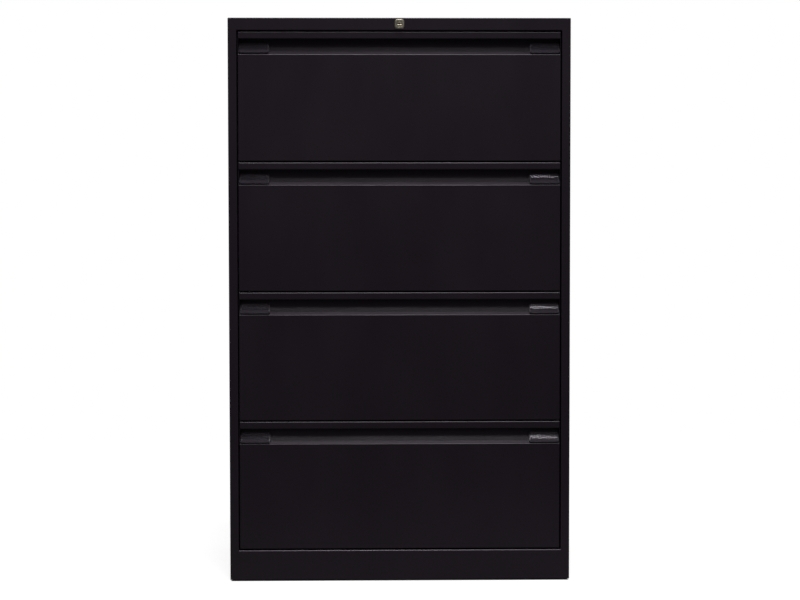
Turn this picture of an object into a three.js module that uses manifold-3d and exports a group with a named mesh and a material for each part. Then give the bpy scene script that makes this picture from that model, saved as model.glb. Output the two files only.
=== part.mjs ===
// A four-drawer lateral filing cabinet in folded sheet steel, in millimetres, with +Z up.
// The origin is on the floor, under the middle of the cabinet. The drawers open towards -Y.

import * as THREE from "three";
import { mergeVertices } from "three/addons/utils/BufferGeometryUtils.js";
import Module from "manifold-3d";

const wasm = await Module();
wasm.setup();

// Driving dimensions of the cabinet
const WIDTH = 800;
const DEPTH = 470; // front face of the frame to the back
const HEIGHT = 1321;
const DRAWERS = 4;
const SHEET = 0.8; // steel thickness of the carcass and the drawers
const BEND = 2.5; // outside radius of a fold
const SEAM = 0.3; // room left where two pieces meet

// Frame seen from the front
const STILE = 20.5;
const TOP_RAIL = 29;
const FLOOR_GAP = 3; // the carcass stands this far off the floor on its feet
const FRONT_GAP = 3; // above and below a drawer front
const SIDE_GAP = 2.5; // beside a drawer front
const PITCH = 304; // one drawer to the next
const REAR_FLANGE = 16;
const STILE_RETURN = 26;

// Drawer front, from its bottom edge upwards
const FRONT_HEIGHT = PITCH - FRONT_GAP;
const FRONT_WIDTH = WIDTH - 2 * (STILE + SIDE_GAP);
const FRONT_SET_BACK = 2; // behind the face of the frame
const LIP = 16.5;
const GRIP = 35.9; // height of the open scoop under the lip
const CREASE = 2; // radius of the fold between the panel and the scoop
const SCOOP_RADIUS = 44;
const SCOOP_TURN = 60; // degrees of curve, ending upright behind the lip
const HEM = 7; // turned-up edge behind the lip
const HEM_RADIUS = 2;
const END_FLANGE = 28; // folded in from each end of the front, against the body

// Label holders, one at each end of the grip
const LABEL_LENGTH = 70;
const LABEL_INSET = 2; // from the end of the drawer front
const LABEL_LOW = 4; // above the panel's top edge
const LABEL_HIGH = 25.5;
const LABEL_THICK = 3;
const LABEL_RIM = 3;
const LABEL_POCKET = 1.2;

// Drawer body and the frame that the files hang on
const BODY_HALF = 364.3; // half the width over the body's sides
const BODY_BACK = 440;
const BODY_FLOOR = 12; // underside of the body above the front's bottom edge
const BODY_TOP = 236;
const BODY_FLANGE = 12;
const RAIL_TALL = 16;
const RAIL_THICK = 3;
const RAIL_HALF = 356; // half the width over the side bars
const RAIL_FRONT = 37;
const RAIL_SPACING = 387; // from one file rail to the other, for foolscap hangers

// Telescopic slides: sizes across a slide run inwards from the face that it is fixed to
const SLIDE_FRONT = 38;
const SLIDE_LENGTH = 410;
const SLIDE_MIDDLE = 110; // centre line above the front's bottom edge
const SLIDE_SHEET = 1.2;
const OUTER_HALF = 23;
const OUTER_REACH = 9.7;
const MIDDLE_HALF = 17.8;
const MIDDLE_FROM = 2.5;
const MIDDLE_TO = 9.9;
const INNER_HALF = 11.8;
const INNER_FROM = 4.2;
const INNER_TO = 12.1;

// Slide carriers: a sheet with two hat ribs inside each side panel
const CARRIER_FACE = 377; // from the middle of the cabinet to the ribs' faces
const CARRIER_SHEET = 1;
const CARRIER_FRONT = 44;
const RIB_WIDTH = 36;
const RIB_SPACING = 336;
const CARRIER_EDGE = 10;
const CARRIER_CLEAR = 3; // short of the base and the top rail

// Base, plinth and feet
const PLINTH_TOP = HEIGHT - TOP_RAIL - DRAWERS * PITCH - FRONT_GAP;
const PLINTH_FLANGE = 40;
const PLINTH_RETURN = 15;
const BASE_FRONT = 14;
const BASE_FLANGE = 20;
const FOOT_X = 355;
const FOOT_FRONT = 60;
const FOOT_BACK = 420;
const FOOT_PAD_RADIUS = 16;
const FOOT_PAD_TALL = 7;
const STEM_RADIUS = 4.9;
const STEM_TOP = 84;
const NUT_RADIUS = 9;
const NUT_TALL = 14;
const NUT_BORE = 5.5;

// Lock in the middle of the top rail, and the bar that it lifts
const LOCK_DROP = 14.5; // below the top of the cabinet
const BEZEL_WIDTH = 24.5;
const BEZEL_TALL = 24;
const BEZEL_CORNER = 8;
const BEZEL_PROUD = 3;
const BARREL_RADIUS = 9;
const BARREL_DEEP = 22;
const PLUG_RADIUS = 6.2;
const PLUG_BORE = 6.7;
const PLUG_PROUD = 2.4;
const KEYWAY_LONG = 8;
const KEYWAY_WIDE = 2.2;
const KEYWAY_DEEP = 8;
const TAIL = 7; // square tail of the plug, which drives the cam
const CAM_FRONT = 24.3;
const CAM_THICK = 3;
const CAM_ARM = 8; // from the lock's axis to the drive pin
const CAM_REST = -45; // degrees: the pin's place when the lock is open
const CAM_HUB = 7;
const CAM_TIP = 4;
const PIN_RADIUS = 2.5;
const BAR_FRONT = 30;
const BAR_THICK = 3;
const BAR_WIDE = 12;
const BAR_EDGE = 395; // outer edge of the upright stretch, inside the right-hand stile
const BAR_BOTTOM = 58;
const PIN_SLOT_TALL = 6;
const HOOK_TIP = 366.5;
const HOOK_TALL = 9.9;
const HOOK_CLEAR = 0.6; // under the drawers' catches, which the raised hooks stand in front of
const CATCH_END = 374;
const CATCH_TALL = 10;

// Places worked out from the driving dimensions
const radians = THREE.MathUtils.degToRad;
const sine = (degrees) => Math.sin(radians(degrees));
const cosine = (degrees) => Math.cos(radians(degrees));
const FRONT_FACE = (BEZEL_PROUD - DEPTH) / 2; // Y of the frame's front face
const HALF = WIDTH / 2;
const OPENING_HALF = HALF - STILE;
const FRONT_HALF = FRONT_WIDTH / 2;
const PANEL_TOP = FRONT_HEIGHT - LIP - GRIP;
const FRONT_RETURN = CREASE * (1 - cosine(SCOOP_TURN)) + SCOOP_RADIUS * (1 - cosine(SCOOP_TURN)) + SHEET;
const BODY_FRONT = FRONT_SET_BACK + FRONT_RETURN + SEAM;
const SLIDE_FACE = CARRIER_FACE - SEAM;
const LOCK_HEIGHT = HEIGHT - LOCK_DROP;
const PIN_REST = CAM_ARM * sine(CAM_REST);
const drawerBottom = (number) => HEIGHT - TOP_RAIL - number * PITCH;

// Finishes
const finish = (color, roughness, metalness) => new THREE.MeshStandardMaterial({ color, roughness, metalness });
const blackPaint = finish(0x1a151b, 0.5, 0.1);
const blackPlastic = finish(0x0c0c0e, 0.2, 0);
const zincPlate = finish(0xa9adb0, 0.35, 0.9);
const satinNickel = finish(0x9a9484, 0.35, 0.9);
const darkSteel = finish(0x55585c, 0.45, 0.8);
const blackRubber = finish(0x141414, 0.8, 0);

// Solids and geometries

function solidOf(geometry) {
  const bare = geometry.clone();
  bare.deleteAttribute("normal");
  bare.deleteAttribute("uv");
  const merged = mergeVertices(bare, 1e-4);
  const vertProperties = new Float32Array(merged.attributes.position.array);
  const triVerts = new Uint32Array(merged.index.array);
  return new wasm.Manifold(new wasm.Mesh({ numProp: 3, vertProperties, triVerts }));
}

function geometryOf(solid) {
  const { vertProperties, triVerts } = solid.getMesh();
  const geometry = new THREE.BufferGeometry();
  geometry.setAttribute("position", new THREE.BufferAttribute(vertProperties, 3));
  geometry.setIndex(new THREE.BufferAttribute(triVerts, 1));
  return geometry;
}

const joined = (first, ...others) =>
  geometryOf(others.reduce((sum, other) => sum.add(solidOf(other)), solidOf(first)));

const cutBy = (geometry, ...tools) =>
  geometryOf(tools.reduce((rest, tool) => rest.subtract(solidOf(tool)), solidOf(geometry)));

function extruded(shape, depth) {
  return new THREE.ExtrudeGeometry(shape, { depth, bevelEnabled: false, curveSegments: 6 });
}

// An outline in (Y, Z), run along X from one place to another
const alongX = (outline, from, to) =>
  extruded(outline, to - from)
    .rotateX(Math.PI / 2)
    .rotateZ(Math.PI / 2)
    .translate(from, 0, 0);

// An outline in (X, Z), run along Y
const alongY = (outline, from, to) => extruded(outline, to - from).rotateX(Math.PI / 2).translate(0, to, 0);

// An outline in (X, Y), run along Z
const alongZ = (outline, from, to) => extruded(outline, to - from).translate(0, 0, from);

function block([x0, x1], [y0, y1], [z0, z1]) {
  const size = new THREE.BoxGeometry(x1 - x0, y1 - y0, z1 - z0);
  return size.translate((x0 + x1) / 2, (y0 + y1) / 2, (z0 + z1) / 2);
}

// A round bar along Y, between two depths
const roundAlongY = (radius, from, to, x, z, sides = 24) =>
  new THREE.CylinderGeometry(radius, radius, to - from, sides).translate(x, (from + to) / 2, z);

const polygon = (...corners) => new THREE.Shape(corners.map(([u, v]) => new THREE.Vector2(u, v)));

const rectangle = ([u0, u1], [v0, v1]) => polygon([u0, v0], [u1, v0], [u1, v1], [u0, v1]);

// Folded sheet: a pen walks along one face of the sheet, straight or round bends, and the thickness lies on
// one side of its track. A positive turn goes left. The side is 1 for the left and -1 for the right.

const straight = (length) => ({ length });
const bend = (turn, radius = BEND) => ({ turn, radius });

function foldedSheet({ start, heading, steps, thickness, side }) {
  const track = [];
  const position = new THREE.Vector2(...start);
  let angle = radians(heading);
  const mark = () => track.push({ at: position.clone(), angle });
  const leftOf = (direction) => new THREE.Vector2(-Math.sin(direction), Math.cos(direction));
  mark();
  for (const { length, turn, radius } of steps) {
    if (length !== undefined) {
      position.addScaledVector(new THREE.Vector2(Math.cos(angle), Math.sin(angle)), length);
      mark();
      continue;
    }
    const fineness = Math.max(1, Math.sqrt(radius / 5)); // wide curves get more facets
    const count = Math.ceil((Math.abs(turn) * fineness) / 22.5);
    const reach = radius * Math.sign(turn);
    const centre = position.clone().addScaledVector(leftOf(angle), reach);
    const from = angle;
    for (let step = 1; step <= count; step++) {
      angle = from + (radians(turn) * step) / count;
      position.copy(centre).addScaledVector(leftOf(angle), -reach);
      mark();
    }
  }
  const face = track.map(({ at }) => at);
  const back = track.map(({ at, angle: way }) => at.clone().addScaledVector(leftOf(way), side * thickness));
  return new THREE.Shape([...face, ...back.reverse()]);
}

// Carcass. Y is counted from the frame's front face here, so it is a depth. Handed pieces are drawn for the
// right-hand side of the cabinet, as seen from the front.

function sidePanel() {
  const outline = foldedSheet({
    start: [OPENING_HALF, STILE_RETURN],
    heading: -90,
    steps: [
      straight(STILE_RETURN - BEND),
      bend(90),
      straight(STILE - 2 * BEND),
      bend(90),
      straight(DEPTH - 2 * BEND),
      bend(90),
      straight(REAR_FLANGE - BEND),
    ],
    thickness: SHEET,
    side: 1,
  });
  return alongZ(outline, FLOOR_GAP, HEIGHT - SHEET - SEAM);
}

function topPanel() {
  const railReturn = 14;
  const outline = foldedSheet({
    start: [railReturn, HEIGHT - TOP_RAIL],
    heading: 180,
    steps: [
      straight(railReturn - BEND),
      bend(-90),
      straight(TOP_RAIL - 2 * BEND),
      bend(-90),
      straight(DEPTH - 2 * BEND),
      bend(-90),
      straight(REAR_FLANGE - BEND),
    ],
    thickness: SHEET,
    side: -1,
  });
  const below = [HEIGHT - 2 * TOP_RAIL, HEIGHT - SHEET - SEAM / 2];
  const beyond = (half) => [half, HALF + SHEET];
  const left = ([from, to]) => [-to, -from];
  const railEnd = beyond(OPENING_HALF - SEAM);
  const rearEnd = beyond(HALF - REAR_FLANGE - SEAM);
  const frontDeep = [-SHEET, railReturn + SHEET];
  const rearDeep = [DEPTH - BEND - SEAM, DEPTH + SHEET];
  return cutBy(
    alongX(outline, -HALF, HALF),
    block(railEnd, frontDeep, below),
    block(left(railEnd), frontDeep, below),
    block(rearEnd, rearDeep, below),
    block(left(rearEnd), rearDeep, below),
    roundAlongY(BARREL_RADIUS + SEAM, -SHEET, 2 * SHEET, 0, LOCK_HEIGHT),
  );
}

function backPanel() {
  const half = HALF - BEND - SEAM;
  const face = DEPTH - SHEET - SEAM;
  return block([-half, half], [face - SHEET, face], [FLOOR_GAP + SEAM, HEIGHT - BEND - SEAM]);
}

function basePanel() {
  const top = PLINTH_TOP - SHEET - SEAM;
  const back = DEPTH - 2 * (SHEET + SEAM);
  const half = HALF - SHEET - SEAM;
  const outline = foldedSheet({
    start: [BASE_FRONT, top],
    heading: 0,
    steps: [straight(back - BASE_FRONT - BEND), bend(-90), straight(BASE_FLANGE - BEND)],
    thickness: SHEET,
    side: -1,
  });
  const nuts = [];
  const bores = [];
  for (const x of [-FOOT_X, FOOT_X]) {
    for (const y of [FOOT_FRONT, FOOT_BACK]) {
      const upright = (radius, low, high, sides) =>
        new THREE.CylinderGeometry(radius, radius, high - low, sides)
          .rotateX(Math.PI / 2)
          .translate(x, y, (low + high) / 2);
      nuts.push(upright(NUT_RADIUS, top - NUT_TALL, top - SHEET / 2, 6));
      bores.push(upright(NUT_BORE, top - 2 * NUT_TALL, top + NUT_TALL, 16));
    }
  }
  const stileRoom = [-SHEET, STILE_RETURN + SEAM];
  const pastStile = [OPENING_HALF - SHEET - SEAM, HALF];
  const upDown = [top - 2 * BASE_FLANGE, top + BEND];
  const guide = [BAR_EDGE - BAR_WIDE - 2 * SEAM, BAR_EDGE + 2 * SEAM];
  return cutBy(
    joined(alongX(outline, -half, half), ...nuts),
    ...bores,
    block(pastStile, stileRoom, upDown),
    block([-pastStile[1], -pastStile[0]], stileRoom, upDown),
    block(guide, [BAR_FRONT - 2 * SEAM, BAR_FRONT + BAR_THICK + 2 * SEAM], upDown),
  );
}

function plinth() {
  const hem = 8;
  const outline = foldedSheet({
    start: [PLINTH_FLANGE, PLINTH_TOP],
    heading: 180,
    steps: [
      straight(PLINTH_FLANGE - BEND),
      bend(90),
      straight(PLINTH_TOP - FLOOR_GAP - 2 * BEND),
      bend(90),
      straight(PLINTH_RETURN - 2 * BEND),
      bend(90),
      straight(hem),
    ],
    thickness: SHEET,
    side: 1,
  });
  const half = OPENING_HALF - SEAM;
  return alongX(outline, -half, half);
}

function slideCarrier() {
  const wall = HALF - SHEET - SEAM;
  const rise = wall - CARRIER_FACE - CARRIER_SHEET;
  const rib = [
    bend(90),
    straight(rise - 2 * BEND),
    bend(-90),
    straight(RIB_WIDTH - 2 * BEND),
    bend(-90),
    straight(rise - 2 * BEND),
    bend(90),
  ];
  const outline = foldedSheet({
    start: [wall, CARRIER_FRONT],
    heading: 90,
    steps: [
      straight(CARRIER_EDGE),
      ...rib,
      straight(RIB_SPACING - RIB_WIDTH - 2 * BEND),
      ...rib,
      straight(CARRIER_EDGE),
    ],
    thickness: CARRIER_SHEET,
    side: 1,
  });
  return alongZ(outline, PLINTH_TOP + CARRIER_CLEAR, HEIGHT - TOP_RAIL - CARRIER_CLEAR);
}

function foot() {
  const profile = [
    [0, 0],
    [FOOT_PAD_RADIUS - 1, 0],
    [FOOT_PAD_RADIUS, 1],
    [FOOT_PAD_RADIUS, FOOT_PAD_TALL - 2],
    [FOOT_PAD_RADIUS - 4, FOOT_PAD_TALL],
    [STEM_RADIUS, FOOT_PAD_TALL],
    [STEM_RADIUS, STEM_TOP - 1],
    [STEM_RADIUS - 1, STEM_TOP],
    [0, STEM_TOP],
  ].map(([radius, height]) => new THREE.Vector2(radius, height));
  return new THREE.LatheGeometry(profile, 20).rotateX(Math.PI / 2);
}

// Lock

function roundedRectangle(width, height, corner) {
  const shape = new THREE.Shape();
  const [u, v] = [width / 2 - corner, height / 2 - corner];
  const quarter = Math.PI / 2;
  shape.absarc(u, v, corner, 0, quarter);
  shape.absarc(-u, v, corner, quarter, 2 * quarter);
  shape.absarc(-u, -v, corner, 2 * quarter, 3 * quarter);
  shape.absarc(u, -v, corner, 3 * quarter, 4 * quarter);
  return shape;
}

function lockHousing() {
  const bezel = alongY(roundedRectangle(BEZEL_WIDTH, BEZEL_TALL, BEZEL_CORNER), -BEZEL_PROUD, -SEAM);
  const barrel = roundAlongY(BARREL_RADIUS, -BEZEL_PROUD / 2, BARREL_DEEP, 0, 0);
  const bore = roundAlongY(PLUG_BORE, -2 * BEZEL_PROUD, 2 * BARREL_DEEP, 0, 0);
  return cutBy(joined(bezel, barrel), bore);
}

function lockPlug() {
  const body = roundAlongY(PLUG_RADIUS, -PLUG_PROUD, CAM_FRONT - SEAM, 0, 0);
  const tailEnd = CAM_FRONT + CAM_THICK + 1;
  const tail = block([-TAIL / 2, TAIL / 2], [BARREL_DEEP, tailEnd], [-TAIL / 2, TAIL / 2]);
  const keyway = block(
    [-KEYWAY_LONG / 2, KEYWAY_LONG / 2],
    [-2 * PLUG_PROUD, KEYWAY_DEEP],
    [-KEYWAY_WIDE / 2, KEYWAY_WIDE / 2],
  );
  return cutBy(joined(body, tail), keyway);
}

// The cam is drawn with its arm along +X, and its mesh is turned to its resting place.
function lockCam() {
  const arm = new THREE.Shape();
  arm.absarc(CAM_ARM, 0, CAM_TIP, -Math.PI / 2, Math.PI / 2);
  arm.absarc(0, 0, CAM_HUB, Math.PI / 2, 1.5 * Math.PI);
  const plate = alongY(arm, CAM_FRONT, CAM_FRONT + CAM_THICK);
  const pinEnd = BAR_FRONT + BAR_THICK + 1;
  const pin = roundAlongY(PIN_RADIUS, CAM_FRONT + CAM_THICK / 2, pinEnd, CAM_ARM, 0, 16);
  const hole = TAIL / 2 + SEAM;
  const square = block([-hole, hole], [CAM_FRONT - 1, CAM_FRONT + CAM_THICK + 2], [-hole, hole]);
  square.rotateY(radians(CAM_REST)); // the plug's tail is square to the cabinet at rest
  return cutBy(joined(plate, pin), square);
}

// One flat plate: an arm along the top rail, an upright in the right-hand stile, and a hook for each drawer.
function lockBar() {
  const armMiddle = LOCK_HEIGHT + PIN_REST;
  const armTop = armMiddle + BAR_WIDE / 2;
  const armLow = armMiddle - BAR_WIDE / 2;
  const armStart = -CAM_ARM;
  const inner = BAR_EDGE - BAR_WIDE;
  const outline = [
    [armStart, armTop],
    [armStart, armLow],
    [inner, armLow],
  ];
  for (let number = 1; number <= DRAWERS; number++) {
    const hookTop = drawerBottom(number) + BODY_TOP + SEAM - HOOK_CLEAR;
    const hookLow = hookTop - HOOK_TALL;
    outline.push([inner, hookTop], [HOOK_TIP, hookTop], [HOOK_TIP, hookLow], [inner, hookLow]);
  }
  outline.push([inner, BAR_BOTTOM], [BAR_EDGE, BAR_BOTTOM], [BAR_EDGE, armTop]);
  const plate = alongY(polygon(...outline), BAR_FRONT, BAR_FRONT + BAR_THICK);
  const slotHalf = PIN_SLOT_TALL / 2;
  const slotFrom = CAM_ARM * cosine(CAM_REST) - slotHalf - 1;
  const slot = block(
    [slotFrom, CAM_ARM + slotHalf + 1],
    [BAR_FRONT - 1, BAR_FRONT + BAR_THICK + 1],
    [armMiddle - slotHalf, armMiddle + slotHalf],
  );
  return cutBy(plate, slot);
}

// Drawers. Z is a height above the drawer front's bottom edge here.

const scoopCentre = {
  y: CREASE * (1 - cosine(SCOOP_TURN)) - SCOOP_RADIUS * cosine(SCOOP_TURN),
  z: PANEL_TOP + SCOOP_RADIUS * sine(SCOOP_TURN),
};

// One pressed sheet runs from the bottom return up the panel, round the scoop and the finger pocket, and down
// the lip to its hem. A plate closes each end. Y is counted from the panel's own face.
function drawerFront() {
  const pocketRadius = FRONT_HEIGHT - SHEET - scoopCentre.z;
  const pocketY = FRONT_RETURN - SHEET - pocketRadius;
  const outline = foldedSheet({
    start: [FRONT_RETURN, 0],
    heading: 180,
    steps: [
      straight(FRONT_RETURN - BEND),
      bend(-90),
      straight(PANEL_TOP - CREASE * sine(SCOOP_TURN) - BEND),
      bend(-SCOOP_TURN, CREASE),
      bend(SCOOP_TURN, SCOOP_RADIUS),
      bend(90, pocketRadius),
      straight(pocketY - BEND),
      bend(90, BEND - SHEET),
      straight(LIP - BEND - HEM_RADIUS),
      bend(180, HEM_RADIUS - SHEET),
      straight(HEM),
    ],
    thickness: SHEET,
    side: -1,
  });
  const edge = SHEET / 2;
  const shoulder = (pocketRadius + edge) * Math.SQRT1_2;
  const endPlate = polygon(
    [edge, BEND],
    [BEND, edge],
    [FRONT_RETURN - edge, edge],
    [FRONT_RETURN - edge, scoopCentre.z],
    [pocketY + shoulder, scoopCentre.z + shoulder],
    [pocketY, FRONT_HEIGHT - edge],
    [BEND, FRONT_HEIGHT - edge],
    [edge, FRONT_HEIGHT - BEND],
  );
  const pieces = [];
  for (const hand of [-1, 1]) {
    const span = (from, to) => [hand * from, hand * to].sort((a, b) => a - b);
    pieces.push(alongX(endPlate, ...span(FRONT_HALF - SHEET, FRONT_HALF)));
    const across = span(FRONT_HALF - END_FLANGE, FRONT_HALF - edge);
    pieces.push(block(across, [FRONT_RETURN - SHEET, FRONT_RETURN], [BODY_FLOOR, BODY_TOP]));
  }
  return joined(alongX(outline, -FRONT_HALF, FRONT_HALF), ...pieces);
}

// The label holder lies on the scoop, with a shallow pocket for its window. Y is counted as on the front.
function labelHolder() {
  const outer = SCOOP_RADIUS - SEAM;
  const inner = outer - LABEL_THICK;
  const angleAt = (height) => Math.asin((scoopCentre.z - PANEL_TOP - height) / outer);
  const strip = (radius, margin, thickness) => {
    const low = angleAt(LABEL_LOW) - margin / radius;
    const high = angleAt(LABEL_HIGH) + margin / radius;
    return foldedSheet({
      start: [scoopCentre.y + radius * Math.cos(low), scoopCentre.z - radius * Math.sin(low)],
      heading: 90 - THREE.MathUtils.radToDeg(low),
      steps: [bend(THREE.MathUtils.radToDeg(low - high), radius)],
      thickness,
      side: 1,
    });
  };
  const right = FRONT_HALF - LABEL_INSET;
  const left = right - LABEL_LENGTH;
  const pocket = strip(inner + LABEL_POCKET, LABEL_RIM, 2 * LABEL_POCKET);
  return cutBy(
    alongX(strip(outer, 0, LABEL_THICK), left, right),
    alongX(pocket, left + LABEL_RIM, right - LABEL_RIM),
  );
}

// A trough with turned-in top edges, closed by a front and a back wall
function drawerBody() {
  const inner = BODY_HALF - SHEET;
  const floor = BODY_FLOOR + SHEET;
  const tip = BODY_HALF - BODY_FLANGE;
  const under = BODY_TOP - SHEET;
  const trough = polygon(
    [-tip, BODY_TOP],
    [-BODY_HALF, BODY_TOP],
    [-BODY_HALF, BODY_FLOOR],
    [BODY_HALF, BODY_FLOOR],
    [BODY_HALF, BODY_TOP],
    [tip, BODY_TOP],
    [tip, under],
    [inner, under],
    [inner, floor],
    [-inner, floor],
    [-inner, under],
    [-tip, under],
  );
  const endAt = (front) =>
    block([-BODY_HALF, BODY_HALF], [front, front + SHEET], [BODY_FLOOR, BODY_TOP]);
  return joined(alongY(trough, BODY_FRONT, BODY_BACK), endAt(BODY_FRONT), endAt(BODY_BACK - SHEET));
}

// A ring of flat bar on edge. Files hang between its front and rear rails, and the lock bar stops the catch
// at the front rail's right-hand end.
function suspensionFrame() {
  const low = BODY_TOP + SEAM;
  const rear = RAIL_FRONT + RAIL_SPACING;
  const ring = rectangle([-RAIL_HALF, RAIL_HALF], [RAIL_FRONT, rear + RAIL_THICK]);
  const inside = RAIL_HALF - RAIL_THICK;
  ring.holes.push(rectangle([-inside, inside], [RAIL_FRONT + RAIL_THICK, rear]));
  const railDepth = [RAIL_FRONT, RAIL_FRONT + RAIL_THICK];
  const hookCatch = block([inside, CATCH_END], railDepth, [low, low + CATCH_TALL]);
  return joined(alongZ(ring, low, low + RAIL_TALL), hookCatch);
}

// A channel: its web stands at one place across the slide, and its two flanges reach to another.
function slideMember(half, web, tip) {
  const inside = web + Math.sign(tip - web) * SLIDE_SHEET;
  const low = SLIDE_SHEET - half;
  const high = half - SLIDE_SHEET;
  const outline = polygon(
    [tip, half],
    [web, half],
    [web, -half],
    [tip, -half],
    [tip, low],
    [inside, low],
    [inside, high],
    [tip, high],
  );
  return alongY(outline, SLIDE_FRONT, SLIDE_FRONT + SLIDE_LENGTH).translate(0, 0, SLIDE_MIDDLE);
}

// Assembly

function add(group, name, geometry, material) {
  const mesh = new THREE.Mesh(geometry, material.clone());
  mesh.name = name;
  group.add(mesh);
  return mesh;
}

function addPair(group, name, geometry, material, ending = "") {
  add(group, `${name}_right${ending}`, geometry, material);
  add(group, `${name}_left${ending}`, geometry, material).scale.x = -1;
}

const cabinet = new THREE.Group();
cabinet.position.y = FRONT_FACE;

addPair(cabinet, "side_panel", sidePanel(), blackPaint);
add(cabinet, "top_panel", topPanel(), blackPaint);
add(cabinet, "back_panel", backPanel(), blackPaint);
add(cabinet, "base_panel", basePanel(), blackPaint);
add(cabinet, "plinth", plinth(), blackPaint);
addPair(cabinet, "slide_carrier", slideCarrier(), zincPlate);
addPair(cabinet, "foot_front", foot().translate(FOOT_X, FOOT_FRONT, 0), blackRubber);
addPair(cabinet, "foot_rear", foot().translate(FOOT_X, FOOT_BACK, 0), blackRubber);

const lock = new THREE.Group();
lock.position.z = LOCK_HEIGHT;
cabinet.add(lock);
add(lock, "lock_housing", lockHousing(), satinNickel);
add(lock, "lock_plug", lockPlug(), satinNickel);
add(lock, "lock_cam", lockCam(), darkSteel).rotation.y = -radians(CAM_REST);
add(cabinet, "lock_bar", lockBar(), darkSteel);

const shared = {
  front: drawerFront().translate(0, FRONT_SET_BACK, 0),
  body: drawerBody(),
  frame: suspensionFrame(),
  label: labelHolder().translate(0, FRONT_SET_BACK, 0),
  outer: slideMember(OUTER_HALF, SLIDE_FACE, SLIDE_FACE - OUTER_REACH),
  middle: slideMember(MIDDLE_HALF, SLIDE_FACE - MIDDLE_FROM, SLIDE_FACE - MIDDLE_TO),
  inner: slideMember(INNER_HALF, SLIDE_FACE - INNER_TO, SLIDE_FACE - INNER_FROM),
};

for (let number = 1; number <= DRAWERS; number++) {
  const ending = `_${number}`;
  const drawer = new THREE.Group();
  drawer.position.z = drawerBottom(number);
  cabinet.add(drawer);
  add(drawer, `drawer_front${ending}`, shared.front, blackPaint);
  add(drawer, `drawer_body${ending}`, shared.body, blackPaint);
  add(drawer, `suspension_frame${ending}`, shared.frame, zincPlate);
  addPair(drawer, "label_holder", shared.label, blackPlastic, ending);
  addPair(drawer, "slide_outer", shared.outer, zincPlate, ending);
  addPair(drawer, "slide_middle", shared.middle, zincPlate, ending);
  addPair(drawer, "slide_inner", shared.inner, zincPlate, ending);
}

export default cabinet;
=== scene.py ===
import math

import bmesh
import bpy
from mathutils import Matrix, Vector


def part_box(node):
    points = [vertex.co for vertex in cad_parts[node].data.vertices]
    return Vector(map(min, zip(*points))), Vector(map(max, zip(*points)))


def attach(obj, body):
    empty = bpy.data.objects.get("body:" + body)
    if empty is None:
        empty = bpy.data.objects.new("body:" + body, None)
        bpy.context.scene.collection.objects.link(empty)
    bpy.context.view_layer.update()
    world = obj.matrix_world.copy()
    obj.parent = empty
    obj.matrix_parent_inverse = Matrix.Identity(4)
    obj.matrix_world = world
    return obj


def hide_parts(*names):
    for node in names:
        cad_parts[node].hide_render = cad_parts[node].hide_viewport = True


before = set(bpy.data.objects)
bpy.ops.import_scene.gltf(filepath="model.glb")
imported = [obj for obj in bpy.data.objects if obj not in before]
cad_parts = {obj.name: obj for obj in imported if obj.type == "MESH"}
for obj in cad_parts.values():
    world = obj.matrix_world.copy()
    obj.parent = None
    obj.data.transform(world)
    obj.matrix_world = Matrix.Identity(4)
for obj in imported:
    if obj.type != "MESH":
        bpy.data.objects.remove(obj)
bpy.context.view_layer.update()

scene = bpy.context.scene
mm = 0.001
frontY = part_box("side_panel_left")[0].y  # front face of the frame
drawerNumbers = (1, 2, 3, 4)
sharpAngle = math.radians(38)  # edges past this stay crisp
print("frame loaded:", len(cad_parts), "nodes")


# places in mm: across from the middle, depth behind the front face, height above the floor
def place(across, depth, height):
    return Vector((across * mm, frontY + depth * mm, height * mm))


def drawerBottom(number):
    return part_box(f"drawer_front_{number}")[0].z / mm


# Materials

def newFinish(name):
    finish = bpy.data.materials.new(name)
    finish.use_nodes = True
    tree = finish.node_tree
    shader = tree.nodes["Principled BSDF"]
    where = tree.nodes.new("ShaderNodeTexCoord").outputs["Object"]
    return finish, tree, shader, where


def noise(tree, where, scale, detail=2.0, stretch=(1, 1, 1)):
    mapping = tree.nodes.new("ShaderNodeMapping")
    mapping.inputs["Scale"].default_value = stretch
    texture = tree.nodes.new("ShaderNodeTexNoise")
    texture.inputs["Scale"].default_value = scale
    texture.inputs["Detail"].default_value = detail
    tree.links.new(where, mapping.inputs["Vector"])
    tree.links.new(mapping.outputs["Vector"], texture.inputs["Vector"])
    return texture.outputs["Fac"]


def ramp(tree, value, low, high, start=0.3, end=0.7):
    span = tree.nodes.new("ShaderNodeMapRange")
    span.inputs["From Min"].default_value = start
    span.inputs["From Max"].default_value = end
    span.inputs["To Min"].default_value = low
    span.inputs["To Max"].default_value = high
    tree.links.new(value, span.inputs["Value"])
    return span.outputs["Result"]


def blendColours(tree, value, first, second):
    mix = tree.nodes.new("ShaderNodeMix")
    mix.data_type = "RGBA"
    mix.inputs["A"].default_value = (*first, 1)
    mix.inputs["B"].default_value = (*second, 1)
    tree.links.new(value, mix.inputs["Factor"])
    return mix.outputs["Result"]


def calculate(tree, operation, first, second):
    node = tree.nodes.new("ShaderNodeMath")
    node.operation = operation
    tree.links.new(first, node.inputs[0])
    tree.links.new(second, node.inputs[1])
    return node.outputs[0]


def addBump(tree, shader, heights, distance, strength):
    bump = tree.nodes.new("ShaderNodeBump")
    bump.inputs["Distance"].default_value = distance
    bump.inputs["Strength"].default_value = strength
    tree.links.new(heights, bump.inputs["Height"])
    tree.links.new(bump.outputs["Normal"], shader.inputs["Normal"])


# satin powder coat: near black with a faint purple cast, fine orange peel, faint cloudiness
paintLook = dict(dark=(0.0053, 0.0028, 0.0059), light=(0.0068, 0.0037, 0.0074), rough=(0.38, 0.46),
                 shine=0.33, tint=(0.97, 0.90, 1.0), clouds=3.5, smears=9, smearStretch=(1, 1, 0.4),
                 peel=520, peelDepth=0.0003, peelStrength=0.10)


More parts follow.
